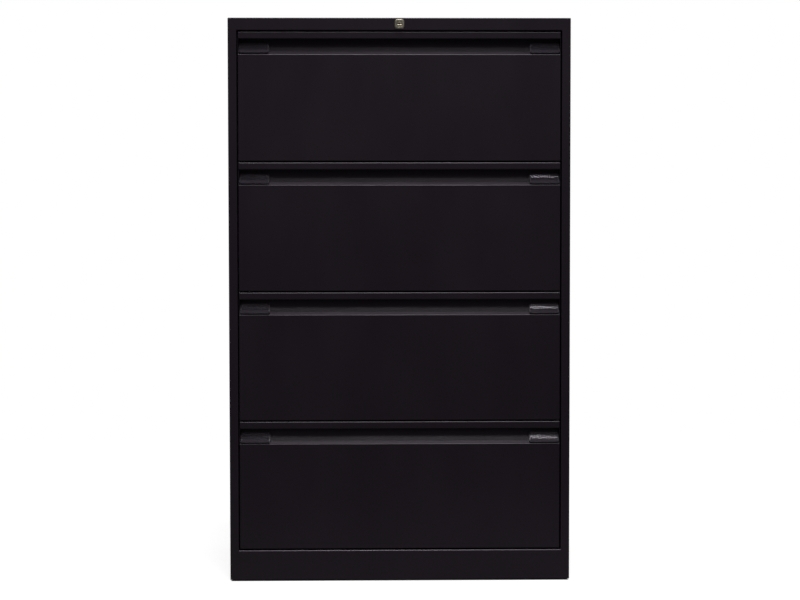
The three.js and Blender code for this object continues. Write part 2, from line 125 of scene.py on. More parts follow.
def powderCoat(name, lift=1.0, roughShift=0.0):
    finish, tree, shader, where = newFinish(name)
    clouds = noise(tree, where, paintLook["clouds"], 4)
    dark = [channel * lift for channel in paintLook["dark"]]
    light = [channel * lift for channel in paintLook["light"]]
    colour = blendColours(tree, ramp(tree, clouds, 0, 1), dark, light)
    tree.links.new(colour, shader.inputs["Base Color"])
    low, high = paintLook["rough"]
    smears = noise(tree, where, paintLook["smears"], 5, paintLook["smearStretch"])
    tree.links.new(ramp(tree, smears, low + roughShift, high + roughShift), shader.inputs["Roughness"])
    peel = noise(tree, where, paintLook["peel"], 2)
    addBump(tree, shader, peel, paintLook["peelDepth"], paintLook["peelStrength"])
    shader.inputs["Specular IOR Level"].default_value = paintLook["shine"]
    shader.inputs["Specular Tint"].default_value = (*paintLook["tint"], 1)
    return finish


# plated and bare metal: faint crystals, fine drawing lines along the piece
metalLook = dict(crystals=120, dull=0.82, lines=400, lineDepth=0.0002, lineStrength=0.06)


def metalFinish(name, colour, along=(1, 1, 1), rough=(0.28, 0.42)):
    finish, tree, shader, where = newFinish(name)
    cells = tree.nodes.new("ShaderNodeTexVoronoi")
    cells.inputs["Scale"].default_value = metalLook["crystals"]
    tree.links.new(where, cells.inputs["Vector"])
    dull = [channel * metalLook["dull"] for channel in colour]
    shade = blendColours(tree, cells.outputs["Distance"], colour, dull)
    tree.links.new(shade, shader.inputs["Base Color"])
    drawn = noise(tree, where, metalLook["lines"], 3, along)
    tree.links.new(ramp(tree, drawn, *rough), shader.inputs["Roughness"])
    addBump(tree, shader, drawn, metalLook["lineDepth"], metalLook["lineStrength"])
    shader.inputs["Metallic"].default_value = 1.0
    return finish


plasticLook = dict(patches=30, paler=1.35, sheen=60, grainDepth=0.0002)


def mouldedPlastic(name, colour, rough, grain, strength, shine=0.5, tint=(1, 1, 1)):
    finish, tree, shader, where = newFinish(name)
    patches = noise(tree, where, plasticLook["patches"], 3)
    paler = [channel * plasticLook["paler"] for channel in colour]
    tree.links.new(blendColours(tree, patches, colour, paler), shader.inputs["Base Color"])
    sheen = noise(tree, where, plasticLook["sheen"], 4)
    tree.links.new(ramp(tree, sheen, *rough), shader.inputs["Roughness"])
    addBump(tree, shader, noise(tree, where, grain, 2), plasticLook["grainDepth"], strength)
    shader.inputs["Specular IOR Level"].default_value = shine
    shader.inputs["Specular Tint"].default_value = (*tint, 1)
    return finish


# thin clear window: mostly see-through, with a soft sheen
windowLook = dict(dark=(0.026, 0.022, 0.029), light=(0.038, 0.032, 0.042), rough=(0.05, 0.09), shine=0.36,
                  alpha=0.3, smoke=12, sheen=45, waves=40, waveDepth=0.0002, waveStrength=0.006)


def clearSheet(name):
    finish, tree, shader, where = newFinish(name)
    look = windowLook
    smoke = noise(tree, where, look["smoke"], 2)
    tree.links.new(blendColours(tree, smoke, look["dark"], look["light"]), shader.inputs["Base Color"])
    sheen = noise(tree, where, look["sheen"], 4)
    tree.links.new(ramp(tree, sheen, *look["rough"]), shader.inputs["Roughness"])
    addBump(tree, shader, noise(tree, where, look["waves"], 2), look["waveDepth"], look["waveStrength"])
    shader.inputs["Specular IOR Level"].default_value = look["shine"]
    shader.inputs["Specular Tint"].default_value = (*paintLook["tint"], 1)
    shader.inputs["Alpha"].default_value = look["alpha"]
    return finish


blackPaint = powderCoat("blackPaint")
wornPaint = powderCoat("blackPaintEdges", lift=1.5, roughShift=-0.06)
zinc = metalFinish("zincPlate", (0.55, 0.57, 0.58), (1, 0.06, 1))
ballSteel = metalFinish("ballSteel", (0.68, 0.69, 0.70), rough=(0.08, 0.16))
screwSteel = metalFinish("screwSteel", (0.50, 0.51, 0.52))
lockSteel = metalFinish("lockSteel", (0.20, 0.21, 0.215), (0.3, 1, 0.3), (0.34, 0.5))
nickel = metalFinish("satinNickel", (0.52, 0.48, 0.38), (1, 1, 0.2), (0.3, 0.42))
holderPlastic = mouldedPlastic("holderPlastic", (0.0075, 0.0055, 0.0085), rough=(0.26, 0.36), grain=60,
                               strength=0.03, shine=0.12, tint=paintLook["tint"])
footPlastic = mouldedPlastic("footPlastic", (0.010, 0.010, 0.010), rough=(0.55, 0.75), grain=700,
                             strength=0.2)
cagePlastic = mouldedPlastic("cagePlastic", (0.10, 0.10, 0.11), rough=(0.4, 0.55), grain=500, strength=0.1)
windowPlastic = clearSheet("windowPlastic")
print("finishes made")


# Mesh helpers

def smoothFaces(mesh):
    mesh.polygons.foreach_set("use_smooth", [True] * len(mesh.polygons))
    mesh.set_sharp_from_angle(angle=sharpAngle)


def pieceFrom(name, bm, finish):
    mesh = bpy.data.meshes.new(name)
    bm.to_mesh(mesh)
    bm.free()
    mesh.materials.append(finish)
    smoothFaces(mesh)
    piece = bpy.data.objects.new(name, mesh)
    scene.collection.objects.link(piece)
    return piece


def softenEdges(piece, width, segments=2, edgeFinish=None):
    bevel = piece.modifiers.new("edges", "BEVEL")
    bevel.width = width * mm
    bevel.segments = segments
    bevel.limit_method = "ANGLE"
    bevel.angle_limit = sharpAngle
    if edgeFinish:
        piece.data.materials.append(edgeFinish)
        bevel.material = len(piece.data.materials) - 1
    evenNormals(piece)


def evenNormals(piece):
    normals = piece.modifiers.new("normals", "WEIGHTED_NORMAL")
    normals.weight = 90
    normals.keep_sharp = True


def settle(piece):  # modifiers become plain mesh
    shape = piece.evaluated_get(bpy.context.evaluated_depsgraph_get())
    mesh = bpy.data.meshes.new_from_object(shape)
    piece.modifiers.clear()
    piece.data = mesh


def finishPiece(piece, body, slot, *nodes):
    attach(piece, body)
    if nodes:
        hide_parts(*nodes)


def copyShifted(source, name, offset):
    mesh = source.data.copy()
    mesh.name = name
    mesh.transform(Matrix.Translation(offset))
    piece = bpy.data.objects.new(name, mesh)
    scene.collection.objects.link(piece)
    evenNormals(piece)
    return piece


foldFacets = dict(tightRadius=6, tight=15, wide=2.5)  # degrees for each facet of a bend


# a pen walks along one face of a sheet: a number goes straight, a pair bends by (degrees, radius)
def foldTrack(start, heading, steps):
    across, up = start
    angle = math.radians(heading)
    track = [(across, up, angle)]
    for step in steps:
        if not isinstance(step, tuple):
            across += step * math.cos(angle)
            up += step * math.sin(angle)
            track.append((across, up, angle))
            continue
        turn, radius = step
        facet = foldFacets["tight" if radius < foldFacets["tightRadius"] else "wide"]
        count = max(3, math.ceil(abs(turn) / facet))
        reach = math.copysign(radius, turn)
        centreX = across - reach * math.sin(angle)
        centreY = up + reach * math.cos(angle)
        first = angle
        for index in range(1, count + 1):
            angle = first + math.radians(turn) * index / count
            across = centreX + reach * math.sin(angle)
            up = centreY - reach * math.cos(angle)
            track.append((across, up, angle))
    return track


def sheetOutline(track, thickness, side):
    face = [(across, up) for across, up, angle in track]
    back = [(across - side * thickness * math.sin(angle), up + side * thickness * math.cos(angle))
            for across, up, angle in track]
    return face + back[::-1]


# joins equal rings of points into a skin; open skins get a cap at each end
def skinRings(bm, rings, closed=False, capped=True):
    made = [[bm.verts.new(point) for point in ring] for ring in rings]
    pairs = list(zip(made, made[1:]))
    if closed:
        pairs.append((made[-1], made[0]))
    for low, high in pairs:
        for index in range(len(low)):
            after = (index + 1) % len(low)
            bm.faces.new((low[index], low[after], high[after], high[index]))
    if capped and not closed:
        bm.faces.new(made[0][::-1])
        bm.faces.new(made[-1])
    return made


def addBox(bm, low, high):
    corners = [bm.verts.new((x, y, z))
               for z in (low.z, high.z) for y in (low.y, high.y) for x in (low.x, high.x)]
    for loop in ((0, 2, 3, 1), (4, 5, 7, 6), (0, 1, 5, 4), (2, 6, 7, 3), (0, 4, 6, 2), (1, 3, 7, 5)):
        bm.faces.new([corners[index] for index in loop])


def unite(piece, tools, operation="UNION"):
    for tool in tools:
        joint = piece.modifiers.new("joined", "BOOLEAN")
        joint.operation = operation
        joint.solver = "EXACT"
        joint.object = tool
    settle(piece)
    for tool in tools:
        bpy.data.objects.remove(tool)


edgeWidths = dict(panel=0.3, carrier=0.3, drawer=0.35, rail=0.6, slide=0.4, lock=0.3)


# a CAD piece carried over: its triangles merged into clean faces, its edges softened
def dressNode(node, name, finish, slot, body, width, edgeFinish=None):
    bm = bmesh.new()
    bm.from_mesh(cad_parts[node].data)
    bmesh.ops.remove_doubles(bm, verts=bm.verts, dist=1e-6)
    bmesh.ops.dissolve_limit(bm, angle_limit=math.radians(1), verts=bm.verts, edges=bm.edges)
    piece = pieceFrom(name, bm, finish)
    softenEdges(piece, width, edgeFinish=edgeFinish)
    finishPiece(piece, body, slot, node)


# Carcass: one welded and painted shell, folded edges all round

shellSizes = dict(half=400, depth=470, height=1321, footGap=3, openHalf=379.5, openLow=73, openHigh=1292,
                  frontReturn=26, rearFlange=16, plinthReturn=15, bend=2.5, sheet=0.8)


def makeShell():
    size = shellSizes
    half, openHalf = size["half"], size["openHalf"]
    low, high = size["footGap"], size["height"]
    openLow, openHigh = size["openLow"], size["openHigh"]
    inset = half - size["rearFlange"]
    bm = bmesh.new()
    made = {}

    def at(*where):
        if where not in made:
            made[where] = bm.verts.new(place(*where))
        return made[where]

    def face(*corners):
        bm.faces.new([at(*corner) for corner in corners])

    outer = [(-half, low), (half, low), (half, high), (-half, high)]
    inner = [(-openHalf, openLow), (openHalf, openLow), (openHalf, openHigh), (-openHalf, openHigh)]
    deep, behind = size["depth"], size["frontReturn"]
    for index in range(4):
        after = (index + 1) % 4
        (x0, z0), (x1, z1) = outer[index], outer[after]
        (u0, w0), (u1, w1) = inner[index], inner[after]
        face((x0, 0, z0), (x1, 0, z1), (u1, 0, w1), (u0, 0, w0))
        face((u0, 0, w0), (u1, 0, w1), (u1, behind, w1), (u0, behind, w0))
        if index > 0:
            face((x1, 0, z1), (x0, 0, z0), (x0, deep, z0), (x1, deep, z1))
    rear = [(half, low), (half, high), (-half, high), (-half, low)]
    under = high - size["rearFlange"]
    tucked = [(inset, low), (inset, under), (-inset, under), (-inset, low)]
    for index in range(3):
        (x0, z0), (x1, z1) = rear[index], rear[index + 1]
        (u0, w0), (u1, w1) = tucked[index], tucked[index + 1]
        face((x1, deep, z1), (x0, deep, z0), (u0, deep, w0), (u1, deep, w1))
    back = size["plinthReturn"]
    face((half, 0, low), (-half, 0, low), (-half, back, low), (half, back, low))
    piece = pieceFrom("carcassShell", bm, blackPaint)
    softenEdges(piece, size["bend"], 5, wornPaint)
    thick = piece.modifiers.new("sheet", "SOLIDIFY")
    thick.thickness = size["sheet"] * mm
    thick.offset = -1
    thick.use_even_offset = True
    finishPiece(piece, "carcass", "black_paint", "side_panel_left", "side_panel_right", "top_panel", "plinth")


makeShell()
for node, name in (("back_panel", "backPanel"), ("base_panel", "basePanel")):
    dressNode(node, name, blackPaint, "black_paint", "carcass", edgeWidths["panel"], wornPaint)
for side in ("left", "right"):
    dressNode(f"slide_carrier_{side}", f"slideCarrier_{side}", zinc, "zinc_plate", "carcass",
              edgeWidths["carrier"])
print("carcass made")


# Drawer fronts: panel, scooped grip and lip pressed from one sheet, with closed ends

frontSizes = dict(half=377, height=301, setBack=2, panelTop=248.6, lip=16.5, crease=2, scoop=44, scoopTurn=60,
                  bend=2.5, hem=7, hemRadius=2, sheet=0.8, endRound=2, endFade=7, endPlate=(0.95, 0.15),
                  plateCut=1.2, plateSunk=0.4, plateLip=0.7, endFlange=28, flangeGap=0.5, flangeLow=12,
                  flangeHigh=236)


def frontPlace(across, depth, height):  # depth behind the drawer front's own face
    return place(across, frontSizes["setBack"] + depth, height)


def scoopCentre():
    size = frontSizes
    turn = math.radians(size["scoopTurn"])
    depth = size["crease"] * (1 - math.cos(turn)) - size["scoop"] * math.cos(turn)
    return depth, size["panelTop"] + size["scoop"] * math.sin(turn)


def makeFront():
    size = frontSizes
    sheet, bend, turn = size["sheet"], size["bend"], size["scoopTurn"]
    centreDepth, centreHeight = scoopCentre()
    behind = centreDepth + size["scoop"] + sheet
    pocket = size["height"] - sheet - centreHeight
    pocketDepth = behind - sheet - pocket
    rise = size["crease"] * math.sin(math.radians(turn))
    track = foldTrack((behind, 0), 180, [
        behind - bend, (-90, bend), size["panelTop"] - rise - bend, (-turn, size["crease"]),
        (turn, size["scoop"]), (90, pocket), pocketDepth - bend, (90, bend - sheet),
        size["lip"] - bend - size["hemRadius"], (180, size["hemRadius"] - sheet), size["hem"]])
    outline = sheetOutline(track, sheet, -1)
    edge = size["endRound"]
    rings = []
    for fromEnd in (0, 0.08, 0.3, 0.6, 1.0):  # the face rounds back at both ends
        rings.append((-size["half"] + fromEnd * edge, edge * (1 - math.sqrt(1 - (1 - fromEnd) ** 2))))
    rings += [(-across, back) for across, back in rings[::-1]]

    def ringAt(across, back):
        return [frontPlace(across, depth + back * max(0, 1 - depth / size["endFade"]), height)
                for depth, height in outline]

    bm = bmesh.new()
    skinRings(bm, [ringAt(across, back) for across, back in rings])
    bmesh.ops.recalc_face_normals(bm, faces=bm.faces)
    piece = pieceFrom("drawerFront", bm, blackPaint)
    slant = (pocket + sheet / 2) * math.sqrt(0.5)
    inside = behind - sheet / 2
    cut, sunk, top = size["plateCut"], size["plateSunk"], size["height"]
    plate = [(cut, bend), (bend, cut), (inside, sunk), (inside, centreHeight),
             (pocketDepth + slant, centreHeight + slant), (pocketDepth, top - sunk),
             (bend, top - size["plateLip"]), (cut, top - bend)]
    tools = []
    for hand in (-1, 1):
        bm = bmesh.new()
        skinRings(bm, [[frontPlace(hand * (size["half"] - gap), depth, height) for depth, height in plate]
                       for gap in size["endPlate"]])
        bmesh.ops.recalc_face_normals(bm, faces=bm.faces)
        tools.append(pieceFrom("endPlate", bm, blackPaint))
        bm = bmesh.new()
        span = sorted(hand * (size["half"] - size[gap]) for gap in ("endFlange", "flangeGap"))
        addBox(bm, frontPlace(span[0], behind - sheet, size["flangeLow"]),
               frontPlace(span[1], behind, size["flangeHigh"]))
        bmesh.ops.recalc_face_normals(bm, faces=bm.faces)
        tools.append(pieceFrom("endFlange", bm, blackPaint))
    unite(piece, tools)
    smoothFaces(piece.data)
    return piece


firstFront = makeFront()
for number in drawerNumbers:
    front = copyShifted(firstFront, f"drawerFront_{number}", Vector((0, 0, drawerBottom(number) * mm)))
    finishPiece(front, f"drawer_{number}", "black_paint", f"drawer_front_{number}")
bpy.data.objects.remove(firstFront)
print("drawer fronts made")


# Label holders: a curved moulding on the scoop with a clear window in its rim

holderSizes = dict(length=70, inset=2, low=0.5, high=25.5, thick=4.2, lean=0.42, rim=3.2, corner=4,
                   leastCorner=0.6, footCut=0.2, footRise=0.25, outerEdge=0.35, edgeMiddle=0.1,
                   innerEdge=0.15, gap=0.3, floor=3.5, windowGap=0.15, windowThick=0.5, windowEdge=0.1)


def makeHolder():
    size = holderSizes
    centreDepth, centreHeight = scoopCentre()
    radius = frontSizes["scoop"] - size["gap"]

    def angleAt(height):
        return math.asin((centreHeight - frontSizes["panelTop"] - height) / radius)

    lowAngle = angleAt(size["low"])
    tall = radius * (lowAngle - angleAt(size["high"]))
    right = frontSizes["half"] - size["inset"]

    def lifted(across, up, lift):  # thicker towards its top, so its face leans less than the scoop
        angle = lowAngle - up / radius
        reach = radius - lift * (1 + size["lean"] * up / tall)
        return frontPlace(right - size["length"] / 2 + across, centreDepth + reach * math.cos(angle),
                          centreHeight - reach * math.sin(angle))

    def halfLoop(inset):  # right half, from the bottom to the top
        corner = max(size["leastCorner"], size["corner"] - inset)
        halfLong = size["length"] / 2 - inset
        bottom, top = inset + corner, tall - inset - corner

        def quarter(start, middle):
            turns = [math.radians(start + 15 * index) for index in range(7)]
            return [(halfLong - corner + corner * math.cos(turn), middle + corner * math.sin(turn))
                    for turn in turns]

        straight = [(halfLong, bottom + (top - bottom) * index / 8) for index in range(1, 8)]
        return quarter(-90, bottom) + straight + quarter(0, top)

    def moulding(bm, profile):
        loops = []
        for inset, lift in profile:
            half = halfLoop(inset)
            whole = half + [(-across, up) for across, up in half[::-1]]
            loops.append([lifted(across, up, lift) for across, up in whole])
        made = skinRings(bm, loops, capped=False)
        for loop, flip in ((made[0], True), (made[-1], False)):
            last = len(loop) - 1
            for index in range(len(loop) // 2 - 1):
                quad = (loop[index], loop[index + 1], loop[last - index - 1], loop[last - index])
                bm.faces.new(quad[::-1] if flip else quad)
        bmesh.ops.recalc_face_normals(bm, faces=bm.faces)

    thick, rim, middle = size["thick"], size["rim"], size["edgeMiddle"]
    outer, inner = size["outerEdge"], size["innerEdge"]
    bm = bmesh.new()
    moulding(bm, [(size["footCut"], 0), (0, size["footRise"]), (0, thick - outer), (middle, thick - middle),
                  (outer, thick), (rim - inner, thick), (rim, thick - inner), (rim, size["floor"])])
    holder = pieceFrom("labelHolder", bm, holderPlastic)
    bm = bmesh.new()
    edge, base = rim + size["windowGap"], size["floor"] + size["windowGap"]
    face = base + size["windowThick"]
    moulding(bm, [(edge, base), (edge, face - size["windowEdge"]), (edge + size["windowEdge"], face)])
    window = pieceFrom("labelWindow", bm, windowPlastic)
    return holder, window


def mirrored(source, name):
    piece = copyShifted(source, name, Vector())
    piece.data.transform(Matrix.Scale(-1, 4, Vector((1, 0, 0))))
    piece.data.flip_normals()
    return piece


firstHolder, firstWindow = makeHolder()
otherHolder, otherWindow = mirrored(firstHolder, "otherHolder"), mirrored(firstWindow, "otherWindow")
for number in drawerNumbers:
    lift = Vector((0, 0, drawerBottom(number) * mm))
    for side, holder, window in (("right", firstHolder, firstWindow), ("left", otherHolder, otherWindow)):
        piece = copyShifted(holder, f"labelHolder_{side}_{number}", lift)
        finishPiece(piece, f"drawer_{number}", "label_plastic", f"label_holder_{side}_{number}")
        piece = copyShifted(window, f"labelWindow_{side}_{number}", lift)
        finishPiece(piece, f"drawer_{number}", "label_plastic")
for piece in (firstHolder, firstWindow, otherHolder, otherWindow):
    bpy.data.objects.remove(piece)
print("label holders made")


# Drawer bodies, file rails and slides

for number in drawerNumbers:
    body = f"drawer_{number}"
    dressNode(f"drawer_body_{number}", f"drawerBody_{number}", blackPaint, "black_paint", body,
              edgeWidths["drawer"], wornPaint)
    dressNode(f"suspension_frame_{number}", f"fileRails_{number}", zinc, "zinc_plate", body,
              edgeWidths["rail"])
    for side in ("left", "right"):
        for member, carrier in (("outer", "carcass"), ("middle", f"slide_stage_{number}"), ("inner", body)):
            node = f"slide_{member}_{side}_{number}"
            dressNode(node, node, zinc, "zinc_plate", carrier, edgeWidths["slide"])
print("drawers and slides made")


# Repeated hardware: geometry nodes set a shape on every point, facing its own way

def startTree(name, *inputs):
    tree = bpy.data.node_groups.new(name, "GeometryNodeTree")
    tree.interface.new_socket("Geometry", in_out="INPUT", socket_type="NodeSocketGeometry")
    for label, kind in inputs:
        tree.interface.new_socket(label, in_out="INPUT", socket_type=kind)
    tree.interface.new_socket("Geometry", in_out="OUTPUT", socket_type="NodeSocketGeometry")
    return tree, tree.nodes.new("NodeGroupInput"), tree.nodes.new("NodeGroupOutput")


def endTree(tree, result, outputs):
    realize = tree.nodes.new("GeometryNodeRealizeInstances")
    paint = tree.nodes.new("GeometryNodeSetMaterial")
    tree.links.new(result, realize.inputs["Geometry"])
    tree.links.new(realize.outputs["Geometry"], paint.inputs["Geometry"])
    tree.links.new(tree.nodes["Group Input"].outputs["Finish"], paint.inputs["Material"])
    tree.links.new(paint.outputs["Geometry"], outputs.inputs["Geometry"])


def onPoints(tree, inputs, shape):
    instance = tree.nodes.new("GeometryNodeInstanceOnPoints")
    facing = tree.nodes.new("GeometryNodeInputNamedAttribute")
    facing.data_type = "FLOAT_VECTOR"
    facing.inputs["Name"].default_value = "facing"
    align = tree.nodes.new("FunctionNodeAlignRotationToVector")
    align.axis = "Z"
    tree.links.new(facing.outputs["Attribute"], align.inputs["Vector"])
    tree.links.new(align.outputs["Rotation"], instance.inputs["Rotation"])
    tree.links.new(inputs.outputs["Geometry"], instance.inputs["Points"])
    tree.links.new(shape, instance.inputs["Instance"])
    return instance.outputs["Instances"]


def ballTree():
    tree, inputs, outputs = startTree("slideBalls", ("Radius", "NodeSocketFloat"),
                                      ("Finish", "NodeSocketMaterial"))
    ball = tree.nodes.new("GeometryNodeMeshUVSphere")
    ball.inputs["Segments"].default_value = 10
    ball.inputs["Rings"].default_value = 6
    tree.links.new(inputs.outputs["Radius"], ball.inputs["Radius"])
    endTree(tree, onPoints(tree, inputs, ball.outputs["Mesh"]), outputs)
    return tree


def domeTree():  # rivet heads and weld spots: a flattened ball, half sunk
    tree, inputs, outputs = startTree("domes", ("Radius", "NodeSocketFloat"), ("Height", "NodeSocketFloat"),
                                      ("Finish", "NodeSocketMaterial"))
    ball = tree.nodes.new("GeometryNodeMeshUVSphere")
    ball.inputs["Segments"].default_value = 16
    ball.inputs["Rings"].default_value = 8
    tree.links.new(inputs.outputs["Radius"], ball.inputs["Radius"])
    flatness = calculate(tree, "DIVIDE", inputs.outputs["Height"], inputs.outputs["Radius"])
    scale = tree.nodes.new("ShaderNodeCombineXYZ")
    scale.inputs["X"].default_value = 1
    scale.inputs["Y"].default_value = 1
    tree.links.new(flatness, scale.inputs["Z"])
    flat = tree.nodes.new("GeometryNodeTransform")
    tree.links.new(ball.outputs["Mesh"], flat.inputs["Geometry"])
    tree.links.new(scale.outputs["Vector"], flat.inputs["Scale"])
    endTree(tree, onPoints(tree, inputs, flat.outputs["Geometry"]), outputs)
    return tree


screwShares = dict(top=0.72, barLong=1.0, barWide=0.22, barDeep=1.0)  # of the head's radius


def screwTree():  # pan head with a cross recess
    tree, inputs, outputs = startTree("panScrews", ("Radius", "NodeSocketFloat"),
                                      ("Height", "NodeSocketFloat"), ("Finish", "NodeSocketMaterial"))
    head = tree.nodes.new("GeometryNodeMeshCone")
    head.inputs["Vertices"].default_value = 20
    narrow = tree.nodes.new("ShaderNodeMath")
    narrow.operation = "MULTIPLY"
    narrow.inputs[1].default_value = screwShares["top"]
    tree.links.new(inputs.outputs["Radius"], narrow.inputs[0])
    tree.links.new(narrow.outputs[0], head.inputs["Radius Top"])
    tree.links.new(inputs.outputs["Radius"], head.inputs["Radius Bottom"])
    tree.links.new(inputs.outputs["Height"], head.inputs["Depth"])
    recess = tree.nodes.new("GeometryNodeMeshBoolean")
    recess.operation = "DIFFERENCE"
    recess.solver = "EXACT"
    tree.links.new(head.outputs["Mesh"], recess.inputs["Mesh 1"])
    long, wide = screwShares["barLong"], screwShares["barWide"]
    for shares in ((long, wide), (wide, long)):
        bar = tree.nodes.new("GeometryNodeMeshCube")
        size = tree.nodes.new("ShaderNodeVectorMath")
        size.operation = "MULTIPLY"
        size.inputs[1].default_value = (*shares, screwShares["barDeep"])
        spread = tree.nodes.new("ShaderNodeCombineXYZ")
        for axis in "XYZ":
            tree.links.new(inputs.outputs["Radius"], spread.inputs[axis])
        tree.links.new(spread.outputs["Vector"], size.inputs[0])
        tree.links.new(size.outputs["Vector"], bar.inputs["Size"])
        raised = tree.nodes.new("GeometryNodeTransform")
        up = tree.nodes.new("ShaderNodeCombineXYZ")
        tree.links.new(inputs.outputs["Height"], up.inputs["Z"])
        tree.links.new(bar.outputs["Mesh"], raised.inputs["Geometry"])
        tree.links.new(up.outputs["Vector"], raised.inputs["Translation"])
        tree.links.new(raised.outputs["Geometry"], recess.inputs["Mesh 2"])
    endTree(tree, onPoints(tree, inputs, recess.outputs["Mesh"]), outputs)
    return tree


def threadTree():  # a ridge that winds up the stem
    tree, inputs, outputs = startTree("threads", ("Radius", "NodeSocketFloat"), ("Length", "NodeSocketFloat"),
                                      ("Turns", "NodeSocketFloat"), ("Ridge", "NodeSocketFloat"),
                                      ("Finish", "NodeSocketMaterial"))
    spiral = tree.nodes.new("GeometryNodeCurveSpiral")
    spiral.inputs["Resolution"].default_value = 14
    tree.links.new(inputs.outputs["Turns"], spiral.inputs["Rotations"])
    tree.links.new(inputs.outputs["Radius"], spiral.inputs["Start Radius"])
    tree.links.new(inputs.outputs["Radius"], spiral.inputs["End Radius"])
    tree.links.new(inputs.outputs["Length"], spiral.inputs["Height"])
    ridge = tree.nodes.new("GeometryNodeCurvePrimitiveCircle")
    ridge.inputs["Resolution"].default_value = 4
    tree.links.new(inputs.outputs["Ridge"], ridge.inputs["Radius"])
    wound = tree.nodes.new("GeometryNodeCurveToMesh")
    wound.inputs["Fill Caps"].default_value = True
    tree.links.new(spiral.outputs["Curve"], wound.inputs["Curve"])
    tree.links.new(ridge.outputs["Curve"], wound.inputs["Profile Curve"])
    endTree(tree, onPoints(tree, inputs, wound.outputs["Mesh"]), outputs)
    return tree


def setHardware(name, tree, spots, settings, body, slot):
    mesh = bpy.data.meshes.new(name)
    mesh.from_pydata([spot for spot, facing in spots], [], [])
    facings = mesh.attributes.new("facing", "FLOAT_VECTOR", "POINT")
    for index, (spot, facing) in enumerate(spots):
        facings.data[index].vector = facing
    piece = bpy.data.objects.new(name, mesh)
    modifier = piece.modifiers.new("hardware", "NODES")
    modifier.node_group = tree
    for item in tree.interface.items_tree:
        if item.in_out == "INPUT" and item.name in settings:
            modifier[item.identifier] = settings[item.name]
    scene.collection.objects.link(piece)
    settle(piece)
    smoothFaces(piece.data)
    finishPiece(piece, body, slot)


ballRows, domes, panScrews, threads = ballTree(), domeTree(), screwTree(), threadTree()

slideSizes = dict(middle=110, outerGap=19.8, outerAcross=371.4, outerStart=258, outerBall=1.9, innerGap=14.2,
                  innerAcross=369.6, innerStart=50, innerBall=2.25, balls=11, pitch=16, cageThick=0.6,
                  cageHalf=2.6, cageEnd=6, cageEdge=0.2)


def makeCage(name, rows, body):  # a thin strip through each row of balls
    bm = bmesh.new()
    size = slideSizes
    half, thin, end = size["cageHalf"], size["cageThick"] / 2, size["cageEnd"]
    for across, height, start in rows:
        last = start + (size["balls"] - 1) * size["pitch"]
        addBox(bm, place(across - half, start - end, height - thin),
               place(across + half, last + end, height + thin))
    piece = pieceFrom(name, bm, cagePlastic)
    softenEdges(piece, size["cageEdge"])
    finishPiece(piece, body, "zinc_plate")


def dressSlides(number):
    size = slideSizes
    centre = drawerBottom(number) + size["middle"]
    body = f"slide_stage_{number}"
    cages = []
    for race in ("outer", "inner"):
        start = size[f"{race}Start"]
        spots = []
        for hand in (-1, 1):
            for way in (-1, 1):
                across = hand * size[f"{race}Across"]
                height = centre + way * size[f"{race}Gap"]
                cages.append((across, height, start))
                spots += [(place(across, start + size["pitch"] * index, height), (0, 0, 1))
                          for index in range(size["balls"])]
        settings = dict(Radius=size[f"{race}Ball"] * mm, Finish=ballSteel)
        setHardware(f"{race}Balls_{number}", ballRows, spots, settings, body, "zinc_plate")
    makeCage(f"ballCages_{number}", cages, body)


fixings = dict(rivetDepths=(70, 180, 290, 405), rivetRadius=3.6, rivetHeight=1.4, screwHeights=(40, 130, 215),
               screwRadius=4, screwHeight=2.4, screwAcross=355, wall=363.5, frontWall=26.9)


def dressDrawer(number):
    low = drawerBottom(number)
    rivets = []
    screws = []
    for hand in (-1, 1):
        for depth in fixings["rivetDepths"]:
            rivets.append((place(hand * fixings["wall"], depth, low + slideSizes["middle"]), (-hand, 0, 0)))
        for height in fixings["screwHeights"]:
            spot = place(hand * fixings["screwAcross"], fixings["frontWall"], low + height)
            screws.append((spot, (0, 1, 0)))
    body = f"drawer_{number}"
    for name, tree, spots, kind in (("slideRivets", domes, rivets, "rivet"),
                                    ("frontScrews", panScrews, screws, "screw")):
        settings = dict(Radius=fixings[f"{kind}Radius"] * mm, Height=fixings[f"{kind}Height"] * mm,
                        Finish=screwSteel)
        setHardware(f"{name}_{number}", tree, spots, settings, body, "zinc_plate")


for number in drawerNumbers:
    dressSlides(number)
    dressDrawer(number)

# spot welds up both edges of the back and along its top
welds = dict(radius=3.0, height=0.25, first=60, pitch=118, count=11, across=391.5, top=1313, topPitch=105,
             topCount=7)


def weldBack():
    back = shellSizes["depth"]
    spots = []
    for index in range(welds["count"]):
        height = welds["first"] + welds["pitch"] * index
        spots += [(place(hand * welds["across"], back, height), (0, 1, 0)) for hand in (-1, 1)]
    for index in range(welds["topCount"]):
        across = (index - welds["topCount"] // 2) * welds["topPitch"]
        spots.append((place(across, back, welds["top"]), (0, 1, 0)))
    settings = dict(Radius=welds["radius"] * mm, Height=welds["height"] * mm, Finish=blackPaint)
    setHardware("weldSpots", domes, spots, settings, "carcass", "black_paint")


weldBack()
print("hardware made")


# Levelling feet

footSizes = dict(stemRadius=4.3, threadFrom=12, threadLong=69, ridge=0.75, pitch=1.5)
footProfile = [(0, 0.6), (6, 0.6), (7.5, 0), (14.2, 0), (15.4, 0.5), (16, 1.5), (16, 4.6), (15.5, 5.6),
               (12.5, 6.6), (9, 7), (8.6, 7.6), (7.2, 8.4), (4.3, 8.6)]
stemProfile = [(0, 8), (4.3, 8), (4.3, 82.6), (3.2, 84), (0, 84)]


